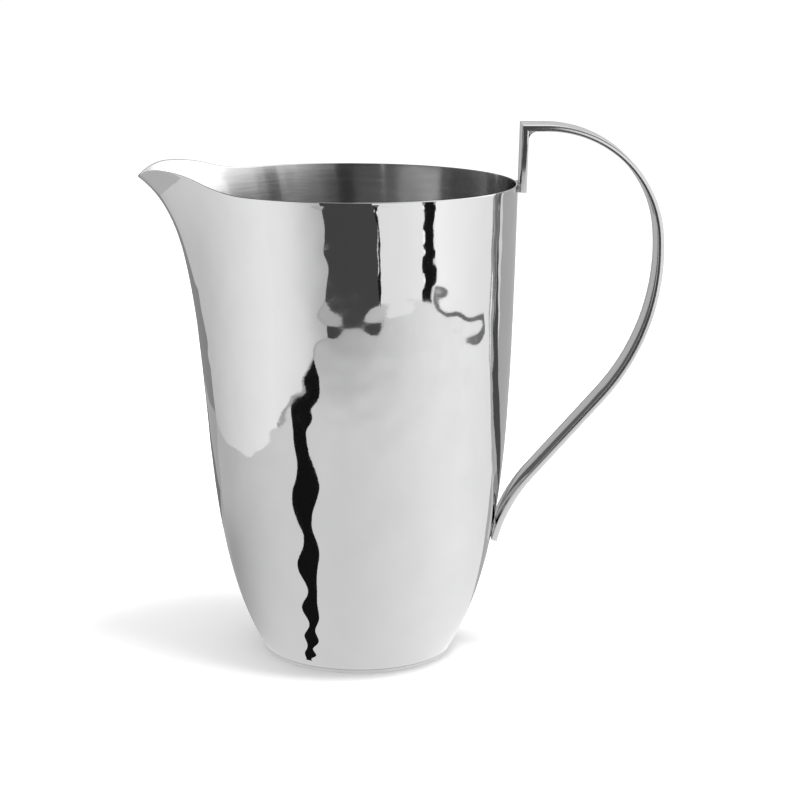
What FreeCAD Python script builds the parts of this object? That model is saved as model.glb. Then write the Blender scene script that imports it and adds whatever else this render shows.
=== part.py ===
import FreeCAD, Part
import math
import os
import Sketcher

# A silver-coloured metal water pitcher: one sheet wall drawn out into a pouring lip, a flat
# disc let in under it, and a flat-bar handle of two lengths, mitred and welded together and
# welded on at the rim and low on the wall.
# Frame: +Z up, the origin at the centre of the face it stands on, on the axis of the round
# wall; the lip points along -X and the handle along +X, so XZ is the plane of symmetry.

DRIVING = [
    ("overall_height", 230.0),
    ("rim_height", 204.9),
    ("rim_radius", 67.2),
    ("foot_radius", 39.6),
    ("wall_lean", 0.0079),
    ("belly_decay", 42.7),
    ("wall_thickness", 1.0),
    ("disc_thickness", 1.2),
    ("disc_setback", 0.35),
    ("disc_chamfer", 0.3),
    ("tip_height", 206.8),
    ("beak_reach", 8.5),
    ("beak_decay", 9.8),
    ("throat_reach", 18.7),
    ("throat_decay", 39.8),
    ("keel_softness", 5.0),
    ("lip_spread", 11.8),
    ("shoulder_share", 0.15),
    ("shoulder_spread", 80.0),
    ("sweep_start", 46.4),
    ("sweep_radius", 57.0),
    ("crest_radius", 48.0),
    ("beak_radius", 15.0),
    ("sweep_angle", 20.5),
    ("beak_angle", 52.0),
    ("strap_width", 20.0),
    ("strap_thickness", 2.6),
    ("post_inner_top", 67.95),
    ("post_inner_bottom", 67.4),
    ("post_bottom_height", 201.7),
    ("top_run", 10.6),
    ("shoulder_radius", 48.6),
    ("shoulder_turn", 84.6),
    ("back_radius", 94.7),
    ("back_turn", 46.5),
    ("leg_run", 46.0),
    ("ankle_radius", 68.0),
    ("ankle_turn", 27.5),
    ("corner_weld_leg", 2.6),
    ("rim_weld_width", 17.0),
    ("foot_weld_width", 18.0),
    ("foot_weld_low", 51.0),
    ("foot_weld_high", 57.0),
    ("foot_weld_reach", 20.5),
    ("seam_weld_leg", 1.8),
]

doc = FreeCAD.newDocument("pitcher")
sheet = doc.addObject("Spreadsheet::Sheet", "sizes")
for row, (alias, value) in enumerate(DRIVING, start=1):
    sheet.set("A%d" % row, alias)
    sheet.set("B%d" % row, str(value))
    sheet.setAlias("B%d" % row, alias)
doc.recompute()


def size(alias):
    """One driving dimension, as the sheet holds it."""
    return float(sheet.get(alias))


# ---- the wall's form ----------------------------------------------------------------------

# Heights at which the wall is drawn round, close together where it curves quickly. The form
# runs on above the lip's crest, and is trimmed to the lip's side view afterwards.
STATIONS = [0.0, 6.0, 14.0, 26.0, 44.0, 68.0, 96.0, 124.0, 148.0, 166.0, 180.0, 190.0, 198.0,
            204.0, 209.0, 214.0]
# Turns from the keel at which each round is drawn, close together at the keel.
TURNS = [0.0, 4.0, 8.0, 13.0, 19.0, 26.0, 35.0, 46.0, 60.0, 78.0, 98.0, 120.0, 145.0]


def round_radius(height):
    """The radius of the round wall, without its lip."""
    straight = size("rim_radius") - size("wall_lean") * (size("rim_height") - height)
    rim_foot = size("rim_radius") - size("wall_lean") * size("rim_height")
    tuck = rim_foot - size("foot_radius")
    return straight - tuck * math.exp(-height / size("belly_decay"))


def keel_reach(height):
    """How far the lip's keel stands out from the round wall."""
    below = height - size("tip_height")
    beak = size("beak_reach") * math.exp(below / size("beak_decay"))
    throat = size("throat_reach") * math.exp(below / size("throat_decay"))
    return beak + throat


def lip_share(turn):
    """The share of the keel's reach at a turn, in degrees, from the keel."""
    soft = size("keel_softness")
    channel = math.exp(-(math.hypot(turn, soft) - soft) / size("lip_spread"))
    shoulder = math.exp(-((turn / size("shoulder_spread")) ** 4))
    share = size("shoulder_share")
    return (1.0 - share) * channel + share * shoulder


def wall_radius(turn, height):
    return round_radius(height) + keel_reach(height) * lip_share(abs(turn))


def inner_radius(turn, height):
    """The wall's radius less its thickness, which is measured square to the metal."""
    step = 0.5
    radius = wall_radius(turn, height)
    rise = (wall_radius(turn, height + step) - wall_radius(turn, height - step)) / (2 * step)
    swing = (wall_radius(turn + step, height) - wall_radius(turn - step, height)) / (2 * step)
    around = swing / (radius * math.radians(1.0))
    return radius - size("wall_thickness") * math.sqrt(1.0 + rise * rise + around * around)


def wall_round(height, radius_at):
    """One closed, smooth round of the wall at a height."""
    turns = TURNS + [180.0] + [-turn for turn in reversed(TURNS[1:])]
    points = []
    for turn in turns:
        angle = math.radians(180.0 - turn)
        radius = radius_at(turn, height)
        points.append(FreeCAD.Vector(radius * math.cos(angle), radius * math.sin(angle), height))
    curve = Part.BSplineCurve()
    curve.interpolate(Points=points, PeriodicFlag=True)
    return Part.Wire([curve.toShape()])


def wall_form(name, radius_at, lowest):
    """A solid of the wall's form, from a lowest height to above the lip."""
    heights = [lowest] + [height for height in STATIONS if height > lowest]
    rounds = [wall_round(height, radius_at) for height in heights]
    form = doc.addObject("Part::Feature", name)
    form.Shape = Part.makeLoft(rounds, True, False)
    return form


# ---- sketches -----------------------------------------------------------------------------

def value_of(expression):
    return float(sheet.evalExpression(expression))


def flat(across, up):
    return FreeCAD.Vector(across, up, 0.0)


def new_body(name):
    return doc.addObject("PartDesign::Body", name)


def sketch_on(body, role, name):
    """A sketch on one of its own body's origin planes."""
    sketch = body.newObject("Sketcher::SketchObject", name)
    planes = [feature for feature in body.Origin.OriginFeatures if feature.Role == role]
    sketch.AttachmentSupport = [(planes[0], "")]
    sketch.MapMode = "FlatFace"
    return sketch


def constrain(sketch, expression, kind, *places):
    """A dimension of the sketch, held by an expression."""
    degrees = kind == "Angle"
    value = value_of(expression)
    amount = math.radians(value) if degrees else value
    row = sketch.addConstraint(Sketcher.Constraint(kind, *places, amount))
    sketch.setExpression("Constraints[%d]" % row, expression + (" * 1 deg" if degrees else ""))


def place(sketch, edge, end, across, up):
    """Holds an edge's end at a place, given as two expressions."""
    constrain(sketch, across, "DistanceX", -1, 1, edge, end)
    constrain(sketch, up, "DistanceY", -1, 1, edge, end)


def outline(sketch, corners):
    """A closed outline of straight edges; each corner is a pair of expressions."""
    points = [flat(value_of(across), value_of(up)) for across, up in corners]
    for start, end in zip(points, points[1:] + points[:1]):
        sketch.addGeometry(Part.LineSegment(start, end))
    for edge, (across, up) in enumerate(corners):
        after = (edge + 1) % len(corners)
        sketch.addConstraint(Sketcher.Constraint("Coincident", edge, 2, after, 1))
        place(sketch, edge, 1, across, up)


def tangent_run(sketch, start, heading, steps):
    """Straight lengths and arcs, each tangent to the last, from a start and a heading.

    A step is ("line", length) or ("arc", radius, turn, side); the side is 1 for a turn to the
    left and -1 for one to the right. Gives the last edge, its free end and that end's place.
    """
    spot = flat(value_of(start[0]), value_of(start[1]))
    angle = math.radians(heading)
    joint = None
    for step in steps:
        if step[0] == "line":
            far = spot + flat(math.cos(angle), math.sin(angle)) * value_of(step[1])
            edge = sketch.addGeometry(Part.LineSegment(spot, far))
            near_end, far_end = 1, 2
            constrain(sketch, step[1], "Distance", edge)
        else:
            radius, turn, side = value_of(step[1]), math.radians(value_of(step[2])), step[3]
            middle = spot + flat(-math.sin(angle), math.cos(angle)) * (radius * side)
            begin = angle - side * math.pi / 2
            angle += side * turn
            finish = angle - side * math.pi / 2
            far = middle + flat(math.cos(finish), math.sin(finish)) * radius
            circle = Part.Circle(middle, flat(0, 0) + FreeCAD.Vector(0, 0, 1), radius)
            edge = sketch.addGeometry(Part.ArcOfCircle(circle, min(begin, finish),
                                                       max(begin, finish)))
            near_end, far_end = (1, 2) if side > 0 else (2, 1)
            constrain(sketch, step[1], "Radius", edge)
            constrain(sketch, step[2], "Angle", edge)
        if joint is None:
            place(sketch, edge, near_end, *start)
            if step[0] == "line":
                sketch.addConstraint(Sketcher.Constraint("Horizontal", edge))
        else:
            sketch.addConstraint(Sketcher.Constraint("Tangent", joint[0], joint[1], edge, near_end))
        joint = (edge, far_end)
        spot = far
    return joint[0], joint[1], spot


def pad_both_ways(body, sketch, width):
    pad = body.newObject("PartDesign::Pad", body.Name + "_pad")
    pad.Profile = sketch
    pad.SideType = "Symmetric"
    pad.setExpression("Length", width)
    return pad


def boolean(kind, name, base, tool):
    result = doc.addObject("Part::" + kind, name)
    result.Base = base
    result.Tool = tool
    return result


# ---- the vessel ---------------------------------------------------------------------------

def make_lip_block():
    """A block whose top follows the rim: level, then swept up to the lip and over to its tip."""
    body = new_body("lip_block")
    sketch = sketch_on(body, "XZ_Plane", "lip_side_view")
    back = "2 * sizes.rim_radius"
    edge, end, tip = tangent_run(sketch, (back, "sizes.rim_height"), 180.0, [
        ("line", back + " + sizes.sweep_start"),
        ("arc", "sizes.sweep_radius", "sizes.sweep_angle", -1),
        ("arc", "sizes.crest_radius", "sizes.sweep_angle", 1),
        ("arc", "sizes.beak_radius", "sizes.beak_angle", 1),
    ])
    front_foot = flat(-value_of(back), value_of("sizes.disc_thickness"))
    front_top = flat(-value_of(back), tip.y)
    back_foot = flat(value_of(back), value_of("sizes.disc_thickness"))
    back_top = flat(value_of(back), value_of("sizes.rim_height"))
    ledge = sketch.addGeometry(Part.LineSegment(tip, front_top))
    front = sketch.addGeometry(Part.LineSegment(front_top, front_foot))
    under = sketch.addGeometry(Part.LineSegment(front_foot, back_foot))
    rear = sketch.addGeometry(Part.LineSegment(back_foot, back_top))
    for first, first_end, second in ((edge, end, ledge), (ledge, 2, front), (front, 2, under),
                                     (under, 2, rear)):
        sketch.addConstraint(Sketcher.Constraint("Coincident", first, first_end, second, 1))
    sketch.addConstraint(Sketcher.Constraint("Coincident", rear, 2, 0, 1))
    sketch.addConstraint(Sketcher.Constraint("Horizontal", ledge))
    sketch.addConstraint(Sketcher.Constraint("Vertical", front))
    sketch.addConstraint(Sketcher.Constraint("Vertical", rear))
    place(sketch, under, 1, "-2 * sizes.rim_radius", "sizes.disc_thickness")
    constrain(sketch, "sizes.disc_thickness", "DistanceY", -1, 1, under, 2)
    pad_both_ways(body, sketch, "4 * sizes.rim_radius")
    return body


def make_body_shell(outer, inner):
    """The wall and its lip, open at the foot, standing on the disc."""
    blank = boolean("Cut", "wall_blank", outer, inner)
    return boolean("Common", "body_shell", blank, make_lip_block())


def make_base_disc():
    """The flat disc that closes the foot, set back a little inside the wall's edge."""
    body = new_body("base_disc")
    sketch = sketch_on(body, "XY_Plane", "disc_outline")
    radius = "sizes.foot_radius + sizes.disc_setback"
    circle = Part.Circle(flat(0, 0), FreeCAD.Vector(0, 0, 1), value_of(radius))
    edge = sketch.addGeometry(circle)
    sketch.addConstraint(Sketcher.Constraint("Coincident", edge, 3, -1, 1))
    constrain(sketch, radius, "Radius", edge)
    pad = body.newObject("PartDesign::Pad", "disc_pad")
    pad.Profile = sketch
    pad.setExpression("Length", "sizes.disc_thickness")
    doc.recompute()
    lower = [index for index, rim in enumerate(pad.Shape.Edges, start=1)
             if rim.BoundBox.ZMax < size("disc_thickness") / 2]
    chamfer = body.newObject("PartDesign::Chamfer", "disc_edge")
    chamfer.Base = (pad, ["Edge%d" % index for index in lower])
    chamfer.setExpression("Size", "sizes.disc_chamfer")
    return body


def make_base_weld(inner):
    """The bead that closes the seam between the disc and the wall, on the inside."""
    body = new_body("seam_ring")
    sketch = sketch_on(body, "XZ_Plane", "seam_section")
    inside = "sizes.foot_radius - sizes.seam_weld_leg"
    outside = "sizes.foot_radius + 2 * sizes.seam_weld_leg"
    top = "sizes.disc_thickness + sizes.seam_weld_leg"
    outline(sketch, [(inside, "sizes.disc_thickness"), (outside, "sizes.disc_thickness"),
                     (outside, top), ("sizes.foot_radius", top)])
    ring = body.newObject("PartDesign::Revolution", "seam_turn")
    ring.Profile = sketch
    ring.ReferenceAxis = (sketch, ["V_Axis"])
    ring.Angle = 360.0
    return boolean("Common", "base_weld", body, inner)


# ---- the handle ---------------------------------------------------------------------------

def make_handle_post():
    """The short upright length of bar, leaning out a little, with a mitred top."""
    body = new_body("handle_post")
    sketch = sketch_on(body, "XZ_Plane", "post_side_view")
    outline(sketch, [
        ("sizes.post_inner_bottom", "sizes.post_bottom_height"),
        ("sizes.post_inner_bottom + sizes.strap_thickness", "sizes.post_bottom_height"),
        ("sizes.post_inner_top + sizes.strap_thickness",
         "sizes.overall_height - sizes.strap_thickness"),
        ("sizes.post_inner_top", "sizes.overall_height"),
    ])
    pad_both_ways(body, sketch, "sizes.strap_width")
    return body


def make_bent_strap():
    """The long bar: over the top, down the back, and in to the wall."""
    body = new_body("bent_strap")
    path = sketch_on(body, "XZ_Plane", "strap_path")
    middle = "sizes.overall_height - sizes.strap_thickness / 2"
    tangent_run(path, ("sizes.post_inner_top", middle), 0.0, [
        ("line", "sizes.top_run"),
        ("arc", "sizes.shoulder_radius", "sizes.shoulder_turn", -1),
        ("arc", "sizes.back_radius", "sizes.back_turn", -1),
        ("line", "sizes.leg_run"),
        ("arc", "sizes.ankle_radius", "sizes.ankle_turn", 1),
    ])
    section = sketch_on(body, "YZ_Plane", "strap_section")
    section.setExpression("AttachmentOffset.Base.z", "sizes.post_inner_top")
    half = "sizes.strap_width / 2"
    low = "sizes.overall_height - sizes.strap_thickness"
    outline(section, [("-" + half, low), (half, low), (half, "sizes.overall_height"),
                      ("-" + half, "sizes.overall_height")])
    pipe = body.newObject("PartDesign::AdditivePipe", "strap_bar")
    pipe.Profile = section
    doc.recompute()
    pipe.Spine = (path, ["Edge%d" % (index + 1) for index in range(len(path.Shape.Edges))])
    doc.recompute()
    mitre = sketch_on(body, "XZ_Plane", "mitre_side_view")
    spare = " + sizes.strap_thickness"
    before = "sizes.post_inner_top - sizes.strap_thickness"
    outline(mitre, [
        (before, "sizes.overall_height" + spare),
        (before, "sizes.overall_height - 2 * sizes.strap_thickness"),
        ("sizes.post_inner_top + 2 * sizes.strap_thickness",
         "sizes.overall_height - 2 * sizes.strap_thickness"),
    ])
    cut = body.newObject("PartDesign::Pocket", "mitre_cut")
    cut.Profile = mitre
    cut.SideType = "Symmetric"
    cut.setExpression("Length", "2 * sizes.strap_width")
    return body


def make_handle_strap(outer):
    """The bent bar, its foot scribed to the round of the wall."""
    return boolean("Cut", "handle_strap", make_bent_strap(), outer)


def make_corner_weld():
    """The fillet inside the mitred corner, under the bar and against the post."""
    body = new_body("corner_weld")
    sketch = sketch_on(body, "XZ_Plane", "corner_section")
    across = "sizes.post_inner_top + sizes.strap_thickness"
    up = "sizes.overall_height - sizes.strap_thickness"
    lean = "(sizes.post_inner_top - sizes.post_inner_bottom)"
    drop = "sizes.corner_weld_leg / (sizes.overall_height - sizes.post_bottom_height)"
    outline(sketch, [
        (across, up),
        (across + " - " + lean + " * " + drop, up + " - sizes.corner_weld_leg"),
        (across + " + sizes.corner_weld_leg / 4", up + " - sizes.corner_weld_leg / 2"),
        (across + " + sizes.corner_weld_leg / 2", up + " - sizes.corner_weld_leg / 4"),
        (across + " + sizes.corner_weld_leg", up),
    ])
    pad_both_ways(body, sketch, "sizes.strap_width")
    return body


def make_rim_weld(outer):
    """The metal that fills between the post's flat face and the round of the wall."""
    body = new_body("rim_weld_bar")
    sketch = sketch_on(body, "XZ_Plane", "rim_weld_section")
    lean = "(sizes.post_inner_top - sizes.post_inner_bottom)"
    rise = "(sizes.rim_height - sizes.post_bottom_height)"
    length = "(sizes.overall_height - sizes.post_bottom_height)"
    outline(sketch, [
        ("sizes.rim_radius - 2 * sizes.wall_thickness", "sizes.post_bottom_height"),
        ("sizes.post_inner_bottom", "sizes.post_bottom_height"),
        ("sizes.post_inner_bottom + " + lean + " * " + rise + " / " + length,
         "sizes.rim_height"),
        ("sizes.rim_radius - 2 * sizes.wall_thickness", "sizes.rim_height"),
    ])
    pad_both_ways(body, sketch, "sizes.rim_weld_width")
    return boolean("Cut", "rim_weld", body, outer)


def make_foot_weld(outer, strap):
    """The wedge of metal between the bar's foot and the wall."""
    body = new_body("foot_weld_bar")
    sketch = sketch_on(body, "XZ_Plane", "foot_weld_section")
    inside = "sizes.foot_radius"
    outside = "sizes.foot_radius + sizes.foot_weld_reach"
    outline(sketch, [
        (inside, "sizes.foot_weld_low"),
        (outside, "sizes.foot_weld_low"),
        (outside, "sizes.foot_weld_high"),
        (inside, "sizes.foot_weld_high"),
    ])
    pad_both_ways(body, sketch, "sizes.foot_weld_width")
    beside = boolean("Cut", "foot_weld_blank", body, outer)
    return boolean("Cut", "foot_weld", beside, strap)


# ---- the whole pitcher --------------------------------------------------------------------

def check_document():
    """Stops before anything is written if a step failed."""
    for thing in doc.Objects:
        if "Invalid" in thing.State or "Error" in thing.State:
            raise RuntimeError("%s: %s" % (thing.Name, thing.State))


def write_pieces(pieces):
    os.makedirs("parts", exist_ok=True)
    for piece in pieces:
        shape = piece.Shape
        if shape.isNull() or not shape.isValid():
            raise RuntimeError(piece.Label + " has no sound shape")
        print("%-14s %9.1f mm3 %d solid(s)" % (piece.Label, shape.Volume, len(shape.Solids)))
        shape.exportStep("parts/%s.step" % piece.Label)


def make_pitcher():
    outer = wall_form("outer_form", wall_radius, 0.0)
    inner = wall_form("inner_form", inner_radius, size("disc_thickness"))
    strap = make_handle_strap(outer)
    pieces = [
        make_body_shell(outer, inner),
        make_base_disc(),
        make_base_weld(inner),
        make_handle_post(),
        strap,
        make_corner_weld(),
        make_rim_weld(outer),
        make_foot_weld(outer, strap),
    ]
    doc.recompute()
    check_document()
    write_pieces(pieces)


make_pitcher()
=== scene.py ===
import math
import random

import bmesh
import bpy
import numpy as np
from mathutils import Matrix, Vector


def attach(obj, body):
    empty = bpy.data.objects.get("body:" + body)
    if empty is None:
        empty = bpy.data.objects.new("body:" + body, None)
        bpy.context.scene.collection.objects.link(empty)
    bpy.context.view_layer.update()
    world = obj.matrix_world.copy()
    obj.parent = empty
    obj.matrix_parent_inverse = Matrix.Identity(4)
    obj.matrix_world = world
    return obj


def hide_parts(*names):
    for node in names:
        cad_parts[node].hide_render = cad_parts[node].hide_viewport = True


# A polished metal water pitcher: hand-hammered wall with a pouring lip, satin inside, and a
# polished flat-bar handle. Metres; +Z up, the lip towards -X, the handle towards +X.

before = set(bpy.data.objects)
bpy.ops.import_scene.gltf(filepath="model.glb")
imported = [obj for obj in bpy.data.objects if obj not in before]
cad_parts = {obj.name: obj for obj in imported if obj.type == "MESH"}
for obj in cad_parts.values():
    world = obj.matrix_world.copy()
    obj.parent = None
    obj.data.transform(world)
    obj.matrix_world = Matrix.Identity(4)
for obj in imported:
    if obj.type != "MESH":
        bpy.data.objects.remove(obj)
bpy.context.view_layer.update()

MM = 0.001

# ---- the wall's form, in millimetres ------------------------------------------------------

FOOT_RADIUS = 39.6
RIM_RADIUS = 67.2
RIM_HEIGHT = 204.9
WALL_LEAN = 0.0079
BELLY_DECAY = 42.7
WALL_THICKNESS = 1.0
DISC_THICKNESS = 1.2
TIP_HEIGHT = 206.8
BEAK_REACH, BEAK_DECAY = 8.5, 9.8
THROAT_REACH, THROAT_DECAY = 18.7, 39.8
KEEL_SOFTNESS = 5.0
LIP_SPREAD = 11.8
SHOULDER_SHARE, SHOULDER_SPREAD = 0.15, 80.0
SWEEP_START = 46.4
SWEEP_RADIUS, CREST_RADIUS, SWEEP_ANGLE = 57.0, 48.0, math.radians(20.5)
BEAK_RADIUS, BEAK_ANGLE = 15.0, math.radians(52.0)
SLOPE_STEP = 0.5               # millimetres, and degrees, either side when a slope is taken
EASING_ROUNDS, EASING_PACE = 60, 0.3


def round_radius(height):
    """Radius of the wall at a height, before the lip is drawn out of it."""
    rim_foot = RIM_RADIUS - WALL_LEAN * RIM_HEIGHT
    straight = RIM_RADIUS - WALL_LEAN * (RIM_HEIGHT - height)
    return straight - (rim_foot - FOOT_RADIUS) * np.exp(-height / BELLY_DECAY)


def wall_radius(turn, height):
    """Radius of the outer face at a turn from the lip's keel, in degrees, and a height."""
    below = height - TIP_HEIGHT
    beak = BEAK_REACH * np.exp(below / BEAK_DECAY)
    throat = THROAT_REACH * np.exp(below / THROAT_DECAY)
    channel = np.exp(-(np.hypot(turn, KEEL_SOFTNESS) - KEEL_SOFTNESS) / LIP_SPREAD)
    shoulder = np.exp(-((turn / SHOULDER_SPREAD) ** 4))
    share = (1.0 - SHOULDER_SHARE) * channel + SHOULDER_SHARE * shoulder
    return round_radius(height) + (beak + throat) * share


def wall_slopes(turn, height):
    """How fast the outer face moves out with height, and with distance around."""
    step = SLOPE_STEP
    radius = wall_radius(turn, height)
    rise = (wall_radius(turn, height + step) - wall_radius(turn, height - step)) / (2 * step)
    swing = (wall_radius(turn + step, height) - wall_radius(turn - step, height)) / (2 * step)
    return rise, swing / (radius * math.radians(1.0))


def skin_radius(turn, height, inward):
    """Radius part of the way through the metal: 0 is the outer face and 1 the inner one."""
    rise, around = wall_slopes(turn, height)
    metal = WALL_THICKNESS * np.sqrt(1.0 + rise * rise + around * around)
    return wall_radius(turn, height) - inward * metal


def rim_top(forward):
    """Height of the rim at a distance towards the lip: level, swept up, and over to the tip."""
    crest_at = SWEEP_START + (SWEEP_RADIUS + CREST_RADIUS) * math.sin(SWEEP_ANGLE)
    bend_at = SWEEP_START + SWEEP_RADIUS * math.sin(SWEEP_ANGLE)
    crest = RIM_HEIGHT + (SWEEP_RADIUS + CREST_RADIUS) * (1 - math.cos(SWEEP_ANGLE))
    tip_at = crest_at + BEAK_RADIUS * math.sin(BEAK_ANGLE)
    start = np.clip(forward - SWEEP_START, 0.0, bend_at - SWEEP_START)
    sweep = RIM_HEIGHT + SWEEP_RADIUS - np.sqrt(SWEEP_RADIUS ** 2 - start ** 2)
    before = np.clip(crest_at - forward, 0.0, crest_at - bend_at)
    rising = crest - CREST_RADIUS + np.sqrt(CREST_RADIUS ** 2 - before ** 2)
    past = np.clip(forward - crest_at, 0.0, tip_at - crest_at)
    falling = crest - BEAK_RADIUS + np.sqrt(BEAK_RADIUS ** 2 - past ** 2)
    return np.where(forward < bend_at, sweep, np.where(forward < crest_at, rising, falling))


def top_height(turn, inward):
    """Where the metal at a turn meets the rim's side view, found by easing towards it."""
    height = np.full_like(turn, RIM_HEIGHT)
    for _ in range(EASING_ROUNDS):
        forward = skin_radius(turn, height, inward) * np.cos(np.radians(turn))
        height += EASING_PACE * (rim_top(forward) - height)
    return height


# ---- mesh helpers -------------------------------------------------------------------------

def finish_piece(bm, name, *finishes, smooth=False):
    """Turns a finished bmesh into an object with its materials."""
    mesh = bpy.data.meshes.new(name)
    bm.to_mesh(mesh)
    bm.free()
    piece = bpy.data.objects.new(name, mesh)
    bpy.context.scene.collection.objects.link(piece)
    for finish in finishes:
        mesh.materials.append(finish)
    if smooth:
        mesh.shade_smooth()
    return piece


def stand_in(piece, node):
    """Says that a piece takes the place of one node of the rigid pitcher."""
    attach(piece, "root")
    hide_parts(node)


# ---- shader helpers -----------------------------------------------------------------------

class Wire:
    """A socket that arithmetic can be done on; each step adds one Math node."""

    def __init__(self, paint, socket):
        self.paint = paint
        self.socket = socket

    def math(self, operation, *values):
        inputs = dict(enumerate(values))
        return self.paint.node("ShaderNodeMath", {"operation": operation}, inputs)

    def __add__(self, other):
        return self.math("ADD", self, other)

    def __sub__(self, other):
        return self.math("SUBTRACT", self, other)

    def __rsub__(self, other):
        return self.math("SUBTRACT", other, self)

    def __mul__(self, other):
        return self.math("MULTIPLY", self, other)

    def __truediv__(self, other):
        return self.math("DIVIDE", self, other)

    def __pow__(self, other):
        return self.math("POWER", self, other)

    def above_zero(self):
        return self.math("MAXIMUM", self, 0.0)

    def eased(self, low, high):
        """0 below low, 1 above high, and a smooth step between."""
        return self.paint.node("ShaderNodeMapRange", {"interpolation_type": "SMOOTHSTEP"},
                               {"Value": self, "From Min": low, "From Max": high})

    __radd__ = __add__
    __rmul__ = __mul__


class Paint:
    """One material and the nodes in it."""

    def __init__(self, name):
        self.material = bpy.data.materials.new(name)
        self.material.use_nodes = True
        self.tree = self.material.node_tree
        self.tree.nodes.clear()

    def node(self, kind, settings=None, inputs=None, output=0):
        """Adds one node, joined up to its inputs, and hands back one of its outputs."""
        made = self.tree.nodes.new(kind)
        for key, value in (settings or {}).items():
            setattr(made, key, value)
        for key, value in (inputs or {}).items():
            socket = made.inputs[key]
            if isinstance(value, Wire):
                self.tree.links.new(value.socket, socket)
            else:
                socket.default_value = value
        return None if output is None else Wire(self, made.outputs[output])

    def place(self, scale=(1.0, 1.0, 1.0)):
        """Object coordinates, stretched."""
        coordinates = self.node("ShaderNodeTexCoord", output="Object")
        return self.node("ShaderNodeMapping", inputs={"Vector": coordinates, "Scale": scale})

    def noise(self, scale, stretch=(1.0, 1.0, 1.0), detail=2.0):
        return self.node("ShaderNodeTexNoise", inputs={
            "Vector": self.place(stretch), "Scale": scale, "Detail": detail})

    def length(self, vector):
        return self.node("ShaderNodeVectorMath", {"operation": "LENGTH"}, {0: vector}, "Value")

    def tones(self, amount, dark, light):
        """A colour between two others."""
        return self.node("ShaderNodeMix", {"data_type": "RGBA"},
                         {"Factor": amount, "A": (*dark, 1.0), "B": (*light, 1.0)},
                         output="Result")

    def relief(self, height, depth, strength):
        """A normal bumped by a height, its depth in metres."""
        return self.node("ShaderNodeBump", inputs={
            "Height": height, "Distance": depth, "Strength": strength}, output="Normal")

    def close(self, shader):
        """Joins the shader to the output: the material is done."""
        self.node("ShaderNodeOutputMaterial", inputs={"Surface": shader}, output=None)
        return self.material

    def metal(self, **inputs):
        """A bare metal; each keyword is a socket, with _ for a space."""
        sockets = {"Metallic": 1.0}
        sockets.update({key.replace("_", " "): value for key, value in inputs.items()})
        return self.close(self.node("ShaderNodeBsdfPrincipled", inputs=sockets, output="BSDF"))


def polished_wall_finish():
    """Mirror polish over hammered metal, with the faint haze and wipe marks of polishing."""
    paint = Paint("polished_hammered_steel")
    haze = paint.noise(55.0, detail=3.0)
    wipes = paint.noise(240.0, (1.0, 1.0, 0.15), detail=4.0)
    grain = paint.noise(900.0, detail=2.0)
    return paint.metal(
        Base_Color=paint.tones(haze, (0.66, 0.66, 0.665), (0.71, 0.71, 0.715)),
        Roughness=0.018 + haze * 0.02 + (wipes ** 3.0) * 0.05,
        Normal=paint.relief(grain, depth=4e-6, strength=0.6))


def satin_finish_with_painted_shade():
    """Fine brushing that runs round the inside of the wall. Its darker colour is painted shade.
    """
    paint = Paint("satin_inside_steel_painted_shade")
    fine = paint.noise(1.0, (50.0, 50.0, 2200.0), detail=3.0)
    broad = paint.noise(1.0, (22.0, 22.0, 500.0), detail=2.0)
    patches = paint.noise(30.0, detail=2.0)
    grooves = fine * 0.6 + broad * 0.4
    return paint.metal(
        # Brushing streaks in the colour, darkened overall as painted shade inside the pitcher.
        Base_Color=paint.tones(grooves, (0.42, 0.42, 0.425), (0.70, 0.70, 0.70)),
        Roughness=0.15 + fine * 0.06 + patches * 0.04,
        Anisotropic=1.0, Anisotropic_Rotation=0.25,
        Normal=paint.relief(grooves, depth=2e-5, strength=0.5))


def handle_finish():
    """Polished bar: near-mirror, with faint lengthwise polishing lines and soft haze."""
    paint = Paint("polished_bar_steel")
    haze = paint.noise(70.0, detail=3.0)
    lines = paint.noise(1.0, (300.0, 2600.0, 300.0), detail=2.0)
    return paint.metal(
        Base_Color=paint.tones(haze, (0.64, 0.64, 0.645), (0.70, 0.70, 0.705)),
        Roughness=0.05 + haze * 0.04 + lines * 0.03,
        Normal=paint.relief(lines, depth=6e-6, strength=0.5))


def weld_finish():
    """Dressed weld metal: a little lumpy, with darker and duller pits."""
    paint = Paint("dressed_weld_steel")
    lumps = paint.noise(700.0, detail=4.0)
    pits = paint.noise(2200.0, detail=2.0)
    return paint.metal(
        Base_Color=paint.tones(lumps, (0.16, 0.16, 0.16), (0.80, 0.80, 0.80)),
        Roughness=0.14 + pits * 0.20,
        Normal=paint.relief(lumps + pits * 0.3, depth=5e-4, strength=1.0))


def turned_disc_finish():
    """The base disc, turned on a lathe: fine rings about its centre."""
    paint = Paint("turned_disc_steel")
    radius = paint.length(paint.place())
    rings = paint.node("ShaderNodeTexNoise", {"noise_dimensions": "1D"},
                       {"W": radius, "Scale": 2600.0, "Detail": 3.0})
    haze = paint.noise(80.0, detail=3.0)
    return paint.metal(
        Base_Color=paint.tones(haze, (0.58, 0.58, 0.585), (0.68, 0.68, 0.68)),
        Roughness=0.16 + rings * 0.14 + haze * 0.06,
        Normal=paint.relief(rings, depth=3e-5, strength=0.6))


# ---- the hammered wall --------------------------------------------------------------------

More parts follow.
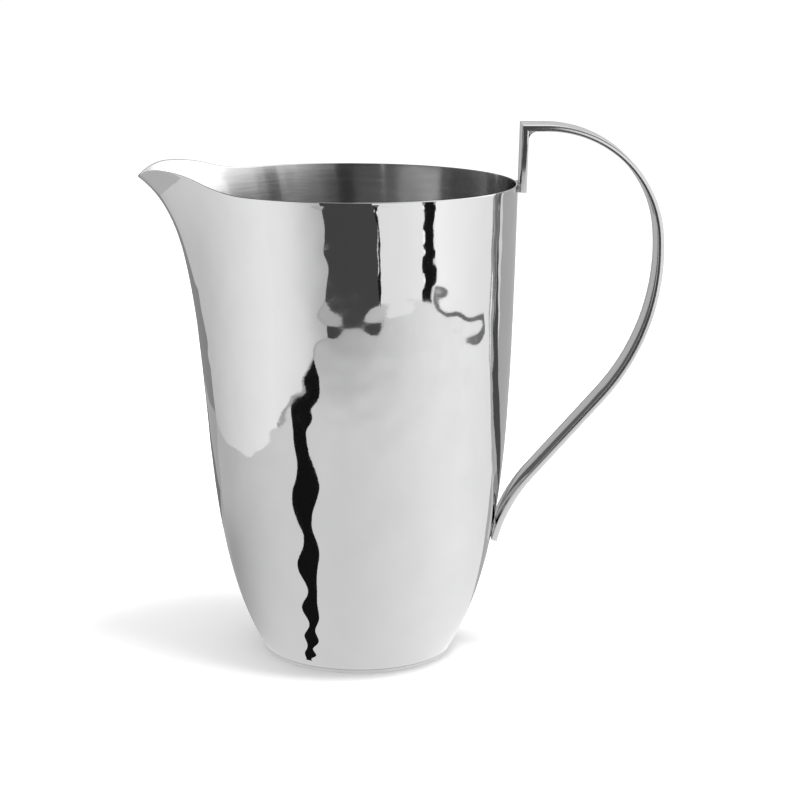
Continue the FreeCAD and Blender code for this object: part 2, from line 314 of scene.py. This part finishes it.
SEGMENTS = 384
OUTER_ROWS = 165
EDGE_ROWS = 4
INNER_ROWS = 56
EDGE_ROUNDING = 0.3            # millimetres down the rim, and share of the metal across it
SKIN_LOSS = 0.15               # how far inside the solid's face the hammered face lies
HAMMER_SEED = 44
FIRST_BLOW, LAST_BLOW = 2.0, TIP_HEIGHT + 6
DENT_SPACING = 7.6
ROW_SPACING = DENT_SPACING * 0.9
DENT_SCATTER = 0.32            # share of the spacing
DENT_RADII = (4.0, 6.6)
DENT_DEPTHS = (0.02, 0.10)
DENT_FALLOFF, DENT_REACH = 1.3, 2.8
DENT_CALM, FAINTEST = (50.0, 130.0), 0.35    # low down the hammering grows faint
WAVE_SEED, WAVE_COUNT = 5, 9
WAVE_LOBES, WAVE_CLIMB, WAVE_START = (3, 12), (-0.11, 0.11), (0, 6.28)
WAVE_DEPTH = 0.02
RIM_CALM, FOOT_CALM = (0.3, 3.0), (2.0, 6.0)


def wall_rows():
    """(through the metal, share of the height, drop below the rim) of every row of the wall."""
    rows = [(0.0, row / OUTER_ROWS, EDGE_ROUNDING) for row in range(OUTER_ROWS + 1)]
    for step in range(1, EDGE_ROWS + 1):
        angle = step / EDGE_ROWS * math.pi / 2
        rows.append((EDGE_ROUNDING * (1 - math.cos(angle)), 1.0,
                     EDGE_ROUNDING * (1 - math.sin(angle))))
    for inward, share, drop in reversed(rows[OUTER_ROWS:]):
        rows.append((1.0 - inward, share, drop))
    rows += [(1.0, 1.0 - row / INNER_ROWS, EDGE_ROUNDING) for row in range(1, INNER_ROWS + 1)]
    return np.array(rows)


def tube_of_rows(count):
    """An open tube of unit radius, one round of edges for each row, closed end to end."""
    bm = bmesh.new()
    bmesh.ops.create_circle(bm, segments=SEGMENTS, radius=1.0)
    first = list(bm.edges)
    edges = first
    for _ in range(1, count):
        grown = bmesh.ops.extrude_edge_only(bm, edges=edges)["geom"]
        ring = {part for part in grown if isinstance(part, bmesh.types.BMVert)}
        edges = [part for part in grown if isinstance(part, bmesh.types.BMEdge)
                 and part.verts[0] in ring and part.verts[1] in ring]
        bmesh.ops.translate(bm, verts=list(ring), vec=(0.0, 0.0, 1.0))
    bmesh.ops.bridge_loops(bm, edges=edges + first)
    return bm


def ease(value, low, high):
    """0 below low, 1 above high, and a smooth step between."""
    share = np.clip((value - low) / (high - low), 0.0, 1.0)
    return share * share * (3 - 2 * share)


def hammer_marks(turn, height, radius):
    """Depth of the hammering, in millimetres, over points of the outer face."""
    dice = random.Random(HAMMER_SEED)
    arc = np.radians(turn) * radius
    around = 2 * math.pi * radius
    depth = np.zeros_like(turn)
    level = FIRST_BLOW
    while level < LAST_BLOW:
        girth = 2 * math.pi * float(round_radius(level))
        marks = round(girth / DENT_SPACING)
        start = dice.random()
        near = np.abs(height - level) < DENT_REACH * DENT_RADII[1]
        for mark in range(marks):
            share = (mark + start + dice.uniform(-DENT_SCATTER, DENT_SCATTER)) / marks
            middle = level + dice.uniform(-DENT_SCATTER, DENT_SCATTER) * DENT_SPACING
            reach = dice.uniform(*DENT_RADII)
            blow = dice.uniform(*DENT_DEPTHS)
            across = arc[near] - share * around[near]
            across -= around[near] * np.round(across / around[near])
            far = (across ** 2 + (height[near] - middle) ** 2) / reach ** 2
            depth[near] += blow * np.exp(-DENT_FALLOFF * far)
        level += ROW_SPACING
    return depth * (FAINTEST + (1.0 - FAINTEST) * ease(height, *DENT_CALM))


def slow_waves(turn, height):
    """The broad unevenness left by raising the wall by hand, in millimetres."""
    dice = random.Random(WAVE_SEED)
    waves = np.zeros_like(turn)
    for _ in range(WAVE_COUNT):
        lobes = dice.randint(*WAVE_LOBES)
        climb = dice.uniform(*WAVE_CLIMB)
        waves += np.sin(np.radians(turn) * lobes + height * climb + dice.uniform(*WAVE_START))
    return WAVE_DEPTH * waves


def make_wall(polished, satin_with_painted_shade):
    """A tube of rows, each vertex of which is then moved to its place on the wall."""
    rows = wall_rows()
    wall = finish_piece(tube_of_rows(len(rows)), "hammered_wall", polished, satin_with_painted_shade, smooth=True)
    mesh = wall.data
    places = np.empty(len(mesh.vertices) * 3)
    mesh.vertices.foreach_get("co", places)
    places = places.reshape(-1, 3)
    row_of = np.rint(places[:, 2]).astype(int)
    inward, share, drop = rows[row_of].T
    heading = np.arctan2(places[:, 1], places[:, 0])
    turn = 180.0 - np.degrees(heading) % 360.0
    side = np.abs(turn)
    top = top_height(side, inward) - drop
    height = DISC_THICKNESS + (top - DISC_THICKNESS) * share
    radius = skin_radius(side, height, inward)
    outer = inward == 0.0
    rise, _ = wall_slopes(side, height)
    marks = slow_waves(turn, height)
    marks[outer] += hammer_marks(turn[outer], height[outer], round_radius(height[outer]))
    typical = marks[outer].mean()
    worked = ease(top - height, *RIM_CALM) * ease(height, *FOOT_CALM)
    blow = (SKIN_LOSS + (marks - typical) * worked) * (1.0 - inward)
    square = np.sqrt(1.0 + rise * rise)
    radius -= blow / square
    height += blow * rise / square
    places[:, 0] = radius * np.cos(heading) * MM
    places[:, 1] = radius * np.sin(heading) * MM
    places[:, 2] = height * MM
    mesh.vertices.foreach_set("co", places.ravel())
    mesh.update()
    tidy = bmesh.new()
    tidy.from_mesh(mesh)
    bmesh.ops.recalc_face_normals(tidy, faces=tidy.faces)
    tidy.to_mesh(mesh)
    tidy.free()
    # The inner rows take the second material, its colour darkened as painted shade.
    first_inside = OUTER_ROWS + 2 * EDGE_ROWS + 1
    for face in mesh.polygons:
        if min(row_of[vert] for vert in face.vertices) >= first_inside:
            face.material_index = 1
    stand_in(wall, "body_shell")


# ---- the handle ---------------------------------------------------------------------------

BAR_WIDTH = 20.0
BAR_THICKNESS = 2.6
TOP = 230.0
POST_TOP = 67.95
POST_BOTTOM = 67.4
POST_FOOT = 201.7
TOP_RUN = 10.6
LEG_RUN = 46.0
# Each bend of the bar: its radius, its degrees, and which way it turns.
SHOULDER_BEND, BACK_BEND, ANKLE_BEND = (48.6, 84.6, -1), (94.7, 46.5, -1), (68.0, 27.5, 1)
FEWEST_STEPS, STEPS_PER_DEGREE = 8, 1.1
BAR_RELIEF = 0.02              # keeps the bar's outer face just inside the solid's
EDGE_SOFTNESS, EDGE_SEGMENTS = 0.28, 3
MITRE_ABOVE = 200.0
MARGIN, SAME_SPOT = 0.1, 0.01
SHARP_CORNER, SMOOTH_BELOW = math.radians(60), math.radians(32)
HALF_WIDTH = BAR_WIDTH / 2


def along_bar(bm):
    """The bar's sharp lengthwise edges."""
    return [edge for edge in bm.edges if len(edge.link_faces) == 2
            and edge.calc_face_angle(0.0) > SHARP_CORNER
            and abs((edge.verts[0].co - edge.verts[1].co).normalized().y) < 0.5]


def finish_bar(bm, edges, name, finish, node):
    """Softens a bar's edges and sets it down in place of its node."""
    bmesh.ops.bevel(bm, geom=edges, offset=EDGE_SOFTNESS * MM, segments=EDGE_SEGMENTS,
                    profile=0.5, affect="EDGES", material=-1, clamp_overlap=True)
    bmesh.ops.recalc_face_normals(bm, faces=bm.faces)
    piece = finish_piece(bm, name, finish, smooth=True)
    piece.data.set_sharp_from_angle(angle=SMOOTH_BELOW)
    stand_in(piece, node)


def make_post(finish):
    """The short upright bar, cut off square at its foot and mitred at its top."""
    bm = bmesh.new()
    bmesh.ops.create_cube(bm, size=1.0)
    for vert in bm.verts:
        upper, outside = vert.co.z > 0, vert.co.x > 0
        across = (POST_TOP if upper else POST_BOTTOM) + (BAR_THICKNESS if outside else 0.0)
        up = TOP - (BAR_THICKNESS if outside else 0.0) if upper else POST_FOOT
        vert.co = Vector((across, math.copysign(HALF_WIDTH, vert.co.y), up)) * MM
    foot_top = (POST_FOOT + MARGIN) * MM
    ends = [edge for edge in bm.edges if all(v.co.z < foot_top for v in edge.verts)]
    level = BAR_THICKNESS * 2 * MM
    sides = [edge for edge in along_bar(bm) if edge not in ends
             and abs(edge.verts[0].co.z - edge.verts[1].co.z) > level]
    finish_bar(bm, sides + ends, "post_bar", finish, "handle_post")


def make_strap(finish):
    """The bent bar: its section drawn along straight runs and turned round the bends."""
    bm = bmesh.new()
    outer, inner = TOP - BAR_RELIEF, TOP - BAR_THICKNESS
    section = ((-HALF_WIDTH, outer), (HALF_WIDTH, outer), (HALF_WIDTH, inner),
               (-HALF_WIDTH, inner))
    face = bm.faces.new([bm.verts.new(Vector((POST_TOP + (TOP - z), y, z)) * MM)
                         for y, z in section])
    spot = Vector((POST_TOP, 0.0, TOP - BAR_THICKNESS / 2))
    heading = Vector((1.0, 0.0, 0.0))

    def run(face, spot, length):
        """Moves the section on, leaving a straight length behind it."""
        made = bmesh.ops.extrude_face_region(bm, geom=[face])["geom"]
        verts = [part for part in made if isinstance(part, bmesh.types.BMVert)]
        end = spot + heading * length
        for vert in verts:
            behind = (vert.co / MM - end).dot(heading)
            vert.co -= heading * behind * MM
        return next(part for part in made if isinstance(part, bmesh.types.BMFace)), end

    def bend(face, spot, heading, radius, angle, side):
        """Turns the section round a bend, leaving the bend behind it."""
        steps = max(FEWEST_STEPS, round(angle * STEPS_PER_DEGREE))
        square = Vector((-heading.z, 0.0, heading.x)) * side
        centre = spot + square * radius
        turned = bmesh.ops.spin(bm, geom=[face, *face.edges, *face.verts], cent=centre * MM,
                                axis=(0.0, -1.0, 0.0), angle=math.radians(angle) * side,
                                steps=steps)["geom_last"]
        turn = Matrix.Rotation(math.radians(angle) * side, 3, (0.0, -1.0, 0.0))
        last = next(part for part in turned if isinstance(part, bmesh.types.BMFace))
        return last, centre + turn @ (spot - centre), turn @ heading

    face, spot = run(face, spot, TOP_RUN)
    face, spot, heading = bend(face, spot, heading, *SHOULDER_BEND)
    face, spot, heading = bend(face, spot, heading, *BACK_BEND)
    face, spot = run(face, spot, LEG_RUN)
    face, spot, heading = bend(face, spot, heading, *ANKLE_BEND)
    bmesh.ops.remove_doubles(bm, verts=bm.verts, dist=SAME_SPOT * MM)
    bmesh.ops.recalc_face_normals(bm, faces=bm.faces)
    inner_caps = [cap for cap in bm.faces if all(len(e.link_faces) > 2 for e in cap.edges)]
    bmesh.ops.delete(bm, geom=inner_caps, context="FACES_ONLY")
    mitre_end = (POST_TOP + BAR_THICKNESS + MARGIN) * MM
    mitre = [edge for edge in bm.edges
             if all(v.co.x < mitre_end and v.co.z > MITRE_ABOVE * MM for v in edge.verts)]
    foot = list(face.edges) if face.is_valid else []
    sides = [edge for edge in along_bar(bm) if edge not in mitre and edge not in foot]
    finish_bar(bm, sides + foot, "bent_bar", finish, "handle_strap")


# ---- stage --------------------------------------------------------------------------------

FLOOR_HALF = 12.0
WORLD_STRENGTH = 1.1
LAMP_SIZE, LAMP_WATTS = 0.5, 17.0
LAMP_SPOT, LAMP_AIM = (0.31, -0.15, 1.30), (0.0, 0.0, 0.05)

# Corners of the cards on plan, going round from the front left to the right and the back.
OPENING_LEFT, OPENING_RIGHT = (-0.270, -0.700), (0.186, -0.700)
EDGE_RIGHT, UPPER_RIGHT = (0.206, -0.698), (0.150, -0.700)
PANEL_END, GAP_END = (0.565, -0.590), (0.655, -0.490)
RIGHT_END, BACK_START = (0.715, 0.160), (0.660, 0.420)
BACK, BACK_BREAK, NEAR_BACK = (0.0, 0.90), (-0.190, 0.527), (0.0, 0.050)
BACK_BRIGHT = ((-0.110, 0.675), (0.0, 0.890))
LEFT_KNEE, LEFT_END = (-0.330, -0.200), (-0.305, 0.300)
LEFT_ABOVE = ((-0.300, -0.735), (-0.345, 0.300))
TABLE = ((-1.0, -0.728), (1.0, -0.728), (1.0, 0.95), (-1.0, 0.95))

# Heights at which the cards start, change and end, and the strength of the dark opening.
LEFT_SILL, RIGHT_SILL = 0.005, 0.010
OPENING_STEP, BACK_STEP, LEFT_TOP, RIGHT_STEP = 0.11, 0.16, 0.17, 0.20
PANEL_STEP, FAR_STEP, PANEL_TOP, CEILING = 0.24, 0.26, 1.6, 2.5
SHADE = 0.075

# The black strips waver by so many radians to the metre, and stand a little in front.
SLOW_WAVER, QUICK_WAVER, SLOW_SHARE = 115, 260, 0.7
NEARER, STRIP_STRENGTH = 0.996, 0.010

# The seam: its direction in degrees from the front, its widths and reaches in metres.
SEAM_START = (-0.0213, -0.0327)
SEAM_FIRST, SEAM_LAST, SEAM_GROWTH = 0.004, 0.66, 1.05
SEAM_AZIMUTH, SEAM_SWERVE, SEAM_SWERVED, SEAM_WAVER = -32.0, -8.0, 0.20, 2.4
SEAM_HALF_WIDTH, SEAM_SPREAD, SEAM_SWELL = 0.0016, 0.135, 0.36
SEAM_WAVES, SEAM_SWELLS = (9.0, 2.2), (7.5, 1.0)    # how quick, and where they start
SEAM_STRENGTH = 0.008

# Lying cards are stacked above the floor, so far apart.
LAYER = 0.0001


def even_glow(paint, near, far, start, end):
    """A card's light: one strength at its start, another at its end, and slightly patchy."""
    run = Vector(end) - Vector(start)
    along = paint.node("ShaderNodeVectorMath", {"operation": "DOT_PRODUCT"},
                       {0: paint.place(), 1: (run.x, run.y, 0.0)}, "Value")
    offset = Vector(start).dot(run)
    share = (along - offset) / run.length_squared
    patches = paint.noise(2.2, detail=1.0)
    return (near + share.eased(0.0, 1.0) * (far - near)) * (0.94 + patches * 0.12)


def floor_glow(paint):
    """The white table as the wall mirrors it: brightest to the right, dim behind and far off."""
    where = paint.place()
    x, y = (paint.node("ShaderNodeSeparateXYZ", inputs={0: where}, output=axis) for axis in "XY")
    reach = paint.length(where)

    def towards(azimuth):
        """1 straight out in one direction, falling to 0 square to it."""
        angle = math.radians(azimuth)
        return ((x * math.sin(angle) - y * math.cos(angle)) / reach).above_zero()

    patches = paint.noise(9.0, detail=2.0)
    right = towards(78.0) ** 2.0 * 0.27
    left = towards(-138.0) ** 2.0 * (0.46 - reach.eased(0.12, 0.25) * 0.17)
    far = reach.eased(0.34, 0.70) * towards(-12.0) ** 4.0 * 0.30
    return (0.84 + right - left - far) * (0.95 + patches * 0.10)


def card(name, corners, light):
    """A flat studio card that is seen in the metal but not by the camera."""
    bm = bmesh.new()
    bm.faces.new([bm.verts.new(corner) for corner in corners])
    paint = Paint(name + "_light")
    glow = light(paint) if callable(light) else light
    finish = paint.close(paint.node("ShaderNodeEmission", inputs={"Strength": glow}))
    sheet = finish_piece(bm, name, finish)
    sheet.visible_camera = False
    sheet.visible_diffuse = False
    sheet.visible_shadow = False


def standing_card(name, start, end, low, high, near, far=None):
    """An upright card between two spots on plan and two heights."""
    card(name, [(*start, low), (*end, low), (*end, high), (*start, high)],
         lambda paint: even_glow(paint, near, near if far is None else far, start, end))


def lying_card(name, corners, light, layer):
    """A level card just above the floor."""
    card(name, [(x, y, layer * LAYER) for x, y in corners], light)


def ragged_strip(name, start, end, high, swing, step, seed):
    """A narrow black strip between two panels, whose edges waver as they rise."""
    dice = random.Random(seed)
    phases = [dice.uniform(0, 2 * math.pi) for _ in range(4)]
    run = Vector(end) - Vector(start)
    edges = ([], [])
    for level in range(int(high / step) + 1):
        height = level * step
        for side, (edge, slow, quick) in enumerate(zip(edges, phases[:2], phases[2:])):
            waver = (SLOW_SHARE * math.sin(height * SLOW_WAVER + slow)
                     + (1.0 - SLOW_SHARE) * math.sin(height * QUICK_WAVER + quick))
            spot = (Vector(start) + run * (side + swing * waver)) * NEARER
            edge.append((spot.x, spot.y, height))
    card(name, edges[0] + edges[1][::-1], STRIP_STRENGTH)


def floor_seam():
    """A dark gap in the table that runs out from under the pitcher, seen only in its wall."""
    start = Vector(SEAM_START)
    edges = ([], [])
    reach = SEAM_FIRST
    while reach < SEAM_LAST:
        turns = math.log(reach)
        swerve = SEAM_SWERVE * min(1.0, reach / SEAM_SWERVED)
        waver = SEAM_WAVER * math.sin(SEAM_WAVES[0] * turns + SEAM_WAVES[1])
        azimuth = math.radians(SEAM_AZIMUTH + swerve + waver)
        out = Vector((math.sin(azimuth), -math.cos(azimuth)))
        swell = 1.0 + SEAM_SWELL * math.sin(SEAM_SWELLS[0] * turns + SEAM_SWELLS[1])
        half = (SEAM_HALF_WIDTH + SEAM_SPREAD * reach) * swell
        middle = start + out * reach
        for edge, side in zip(edges, (half, -half)):
            edge.append((middle.x - out.y * side, middle.y + out.x * side))
        reach *= SEAM_GROWTH
    lying_card("floor_seam", edges[0] + edges[1][::-1], SEAM_STRENGTH, 3)


def make_floor():
    """A plain white table that runs out of sight."""
    bm = bmesh.new()
    bmesh.ops.create_grid(bm, x_segments=1, y_segments=1, size=FLOOR_HALF)
    paint = Paint("pale_floor")
    white = paint.tones(paint.noise(3.0), (0.93, 0.93, 0.93), (0.95, 0.95, 0.95))
    matt = paint.node("ShaderNodeBsdfDiffuse", inputs={"Color": white})
    finish_piece(bm, "floor", paint.close(matt))


def make_light():
    """An even white world, and one soft lamp that gives the shadow."""
    world = bpy.data.worlds.new("studio")
    world.use_nodes = True
    background = world.node_tree.nodes["Background"].inputs
    background["Color"].default_value = (1.0, 1.0, 1.0, 1.0)
    background["Strength"].default_value = WORLD_STRENGTH
    bpy.context.scene.world = world
    lamp = bpy.data.lights.new("overhead_softbox", "AREA")
    lamp.shape = "SQUARE"
    lamp.size = LAMP_SIZE
    lamp.energy = LAMP_WATTS
    softbox = bpy.data.objects.new("overhead_softbox", lamp)
    softbox.location = LAMP_SPOT
    aim = Vector(LAMP_AIM) - softbox.location
    softbox.rotation_euler = aim.to_track_quat("-Z", "Y").to_euler()
    softbox.visible_glossy = False
    bpy.context.scene.collection.objects.link(softbox)


def make_cards():
    """What the mirror wall shows: a dark opening in front, between light panels."""
    standing_card("front_opening", OPENING_LEFT, OPENING_RIGHT, 0.0, OPENING_STEP, SHADE)
    standing_card("upper_opening", OPENING_LEFT, UPPER_RIGHT, OPENING_STEP, CEILING, SHADE)
    ragged_strip("opening_edge", OPENING_RIGHT, EDGE_RIGHT, OPENING_STEP, 0.35, 0.008, 3)
    standing_card("front_panel", EDGE_RIGHT, PANEL_END, 0.004, OPENING_STEP, 1.04, 1.10)
    standing_card("upper_panel", UPPER_RIGHT, PANEL_END, OPENING_STEP, PANEL_STEP, 1.04, 1.10)
    standing_card("high_panel", UPPER_RIGHT, PANEL_END, PANEL_STEP, PANEL_TOP, 0.25, 0.75)
    ragged_strip("panel_gap", PANEL_END, GAP_END, 0.30, 0.26, 0.010, 11)
    standing_card("right_panel", GAP_END, RIGHT_END, RIGHT_SILL, RIGHT_STEP, 1.24, 1.05)
    standing_card("right_upper_panel", GAP_END, RIGHT_END, RIGHT_STEP, PANEL_TOP, 1.00, 1.45)
    standing_card("right_sill", GAP_END, RIGHT_END, 0.0, RIGHT_SILL, 0.20)
    standing_card("right_far_panel", RIGHT_END, BACK_START, 0.0, FAR_STEP, 1.05, 0.85)
    standing_card("spout_softbox", RIGHT_END, BACK_START, FAR_STEP, PANEL_TOP, 2.5)
    standing_card("left_panel", OPENING_LEFT, LEFT_KNEE, LEFT_SILL, LEFT_TOP, 0.62, 1.12)
    standing_card("left_return", LEFT_KNEE, LEFT_END, 0.0, LEFT_TOP, 1.14, 0.64)
    standing_card("left_sill", OPENING_LEFT, LEFT_KNEE, 0.0, LEFT_SILL, 0.50)
    standing_card("left_above", *LEFT_ABOVE, BACK_STEP, CEILING, 0.08, 0.20)
    standing_card("back_left", LEFT_END, BACK_BREAK, 0.0, BACK_STEP, 0.29)
    standing_card("back_middle", BACK_BREAK, BACK, 0.0, BACK_STEP, 0.12)
    standing_card("back_bright", *BACK_BRIGHT, 0.0, RIGHT_STEP, 0.52)
    standing_card("back_left_above", LEFT_END, BACK, BACK_STEP, 1.2, 0.13)
    standing_card("back_right", BACK, BACK_START, 0.0, BACK_STEP, 0.50)
    standing_card("back_right_above", BACK, BACK_START, BACK_STEP, 0.45, 0.66)
    lying_card("floor_light", TABLE, floor_glow, 1)
    lying_card("back_left_floor", [(-0.040, 0.030), LEFT_END, BACK, NEAR_BACK], 0.45, 2)
    lying_card("back_middle_floor", [(-0.170, 0.190), BACK_BREAK, BACK, (0.0, 0.150)], 0.20, 4)
    lying_card("back_right_floor", [NEAR_BACK, BACK, BACK_START, (0.045, 0.030)], 0.50, 2)
    floor_seam()


# ---- camera -------------------------------------------------------------------------------

CAMERA_DISTANCE, CAMERA_HEIGHT = 1.00776, 0.33180
CAMERA_AZIMUTH, CAMERA_PITCH, CAMERA_ROLL = 0.3049, 12.41, 0.3
SENSOR_WIDTH, FOCAL_LENGTH = 36.0, 107.4915
SHIFT_X, SHIFT_Y = 0.0515, 0.000625
CLIP_START = 0.05


def make_camera():
    """The camera, set down by its distance, height and three angles."""
    distance, height = CAMERA_DISTANCE, CAMERA_HEIGHT
    azimuth, pitch, roll = (math.radians(angle)
                            for angle in (CAMERA_AZIMUTH, CAMERA_PITCH, CAMERA_ROLL))
    camera = bpy.data.objects.new("camera", bpy.data.cameras.new("camera"))
    camera.data.sensor_width = SENSOR_WIDTH
    camera.data.lens = FOCAL_LENGTH
    camera.data.shift_x, camera.data.shift_y = SHIFT_X, SHIFT_Y
    camera.data.clip_start = CLIP_START
    forward = Vector((math.sin(azimuth) * math.cos(pitch), math.cos(azimuth) * math.cos(pitch),
                      -math.sin(pitch)))
    right = Vector((math.cos(azimuth), -math.sin(azimuth), 0.0))
    up = right.cross(forward)
    right, up = (right * math.cos(roll) + up * math.sin(roll),
                 up * math.cos(roll) - right * math.sin(roll))
    camera.matrix_world = Matrix((
        (right.x, up.x, -forward.x, -distance * math.sin(azimuth)),
        (right.y, up.y, -forward.y, -distance * math.cos(azimuth)),
        (right.z, up.z, -forward.z, height),
        (0.0, 0.0, 0.0, 1.0)))
    bpy.context.scene.collection.objects.link(camera)
    bpy.context.scene.camera = camera


def dress(node, finish):
    """Gives a carried-over piece its finish."""
    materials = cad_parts[node].data.materials
    materials.clear()
    materials.append(finish)


make_camera()
make_floor()
make_light()
make_cards()
bpy.context.scene.view_settings.view_transform = "Standard"

bar = handle_finish()
weld = weld_finish()

make_wall(polished_wall_finish(), satin_finish_with_painted_shade())
make_post(bar)
make_strap(bar)
dress("base_disc", turned_disc_finish())
for joint in ("base_weld", "corner_weld", "rim_weld", "foot_weld"):
    dress(joint, weld)
